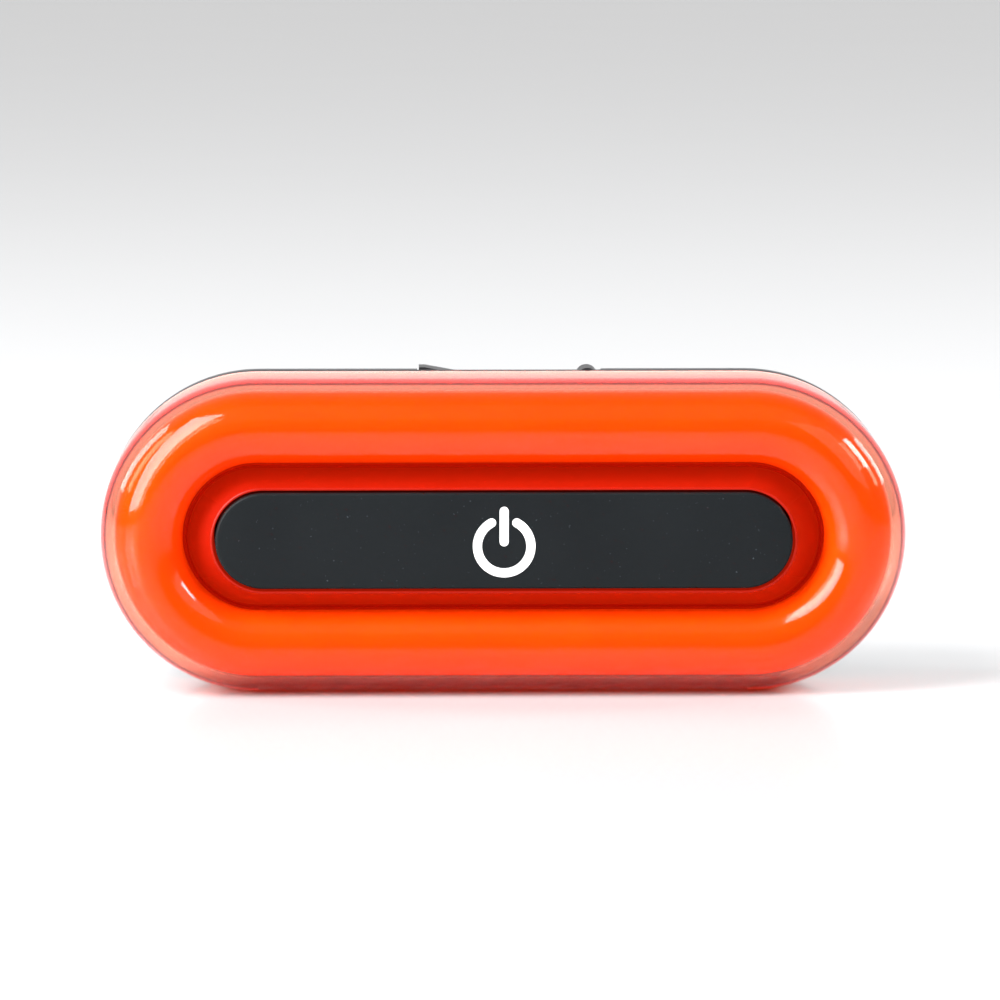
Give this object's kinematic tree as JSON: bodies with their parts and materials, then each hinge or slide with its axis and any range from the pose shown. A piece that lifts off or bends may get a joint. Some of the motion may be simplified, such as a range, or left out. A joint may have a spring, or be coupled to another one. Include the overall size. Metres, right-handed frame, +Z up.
{
  "type": "led safety flare",
  "caption": "Pill-shaped LED safety flare with a clear-and-orange ring lens, a long central press bar, a port door on top and a sprung clip on the back.",
  "frame": {"origin": "under the middle of the light, on the surface that it stands on", "axes": "+X along the pill, -Y out of the lens and the button, +Y out of the clip, +Z up"},
  "size_m": [0.0698, 0.0294, 0.0273],
  "materials": {
    "clear_lens": "clear polycarbonate, polished",
    "orange_guide": "translucent orange, polished",
    "deep_red_plastic": "translucent deep red",
    "dark_silicone": "matt silicone",
    "frosted_silicone": "natural silicone, milky",
    "white_ink": "satin",
    "slate_button": "satin",
    "spring_steel": "bright drawn wire",
    "white_plastic": "satin white",
    "board_green": "solder mask",
    "led_white": "moulded",
    "led_resin": "cast resin",
    "black_plastic": "moulded",
    "bright_steel": "plated",
    "red_plunger": "moulded",
    "solder": "tinned",
    "chip_epoxy": "moulded epoxy",
    "resistor_black": "glazed",
    "capacitor_tan": "ceramic",
    "ferrite": "pressed ferrite",
    "housing_black": "fine texture",
    "battery_foil": "foil pouch",
    "yellow_tape": "polyimide tape",
    "red_wire": "silicone sleeve",
    "black_wire": "silicone sleeve",
    "grey_foam": "foam",
    "zinc_screw": "zinc plated",
    "clip_black": "glass-filled nylon"
  },
  "bodies": {
    "case": {"front_lens": "clear_lens", "light_guide": "orange_guide", "button_surround": "deep_red_plastic", "button_seal": "dark_silicone", "bar_springs": "spring_steel", "reflector_tray": "white_plastic", "main_board": "board_green", "led_packages": "led_white", "led_resin": "led_resin", "switch_body": "black_plastic", "switch_cover": "bright_steel", "switch_legs": "solder", "controller_chip": "chip_epoxy", "controller_legs": "solder", "charger_chip": "chip_epoxy", "chip_resistors": "resistor_black", "chip_capacitors": "capacitor_tan", "power_inductor": "ferrite", "port_shell": "bright_steel", "port_tongue": "black_plastic", "port_door_pin": "bright_steel", "battery_cell": "battery_foil", "battery_guard_board": "board_green", "battery_tape": "yellow_tape", "battery_lead_red": "red_wire", "battery_lead_black": "black_wire", "battery_plug": "white_plastic", "foam_pad": "grey_foam", "housing_seal": "frosted_silicone", "rear_housing": "housing_black", "housing_screws": "zinc_screw", "clip_base": "clip_black", "clip_screws": "zinc_screw", "clip_pin": "bright_steel", "clip_spring": "spring_steel"},
    "button": {"button_cap": "slate_button", "power_symbol": "white_ink", "switch_plunger": "red_plunger"},
    "port_door": {"port_door": "housing_black", "port_door_seal": "dark_silicone"},
    "clip": {"clip_arm": "clip_black"}
  },
  "joints": [
    {"name": "button_press", "type": "slide", "parent": "case", "child": "button", "axis": [0, 1, 0], "range_m": [0, 0.0005], "stiffness_N_per_m": 300, "springref_m": -0.001, "deforming": ["bar_springs"]},
    {"name": "port_door_hinge", "type": "hinge", "parent": "case", "child": "port_door", "pos_m": [0.00745, 0.0001, 0.0264], "axis": [0, 1, 0], "range_deg": [0, 110]},
    {"name": "clip_hinge", "type": "hinge", "parent": "case", "child": "clip", "pos_m": [0, 0.0102, 0.018], "axis": [1, 0, 0], "range_deg": [0, 28], "stiffness_Nm_per_rad": 0.05, "springref_deg": -51.57, "deforming": ["clip_spring"]}
  ]
}
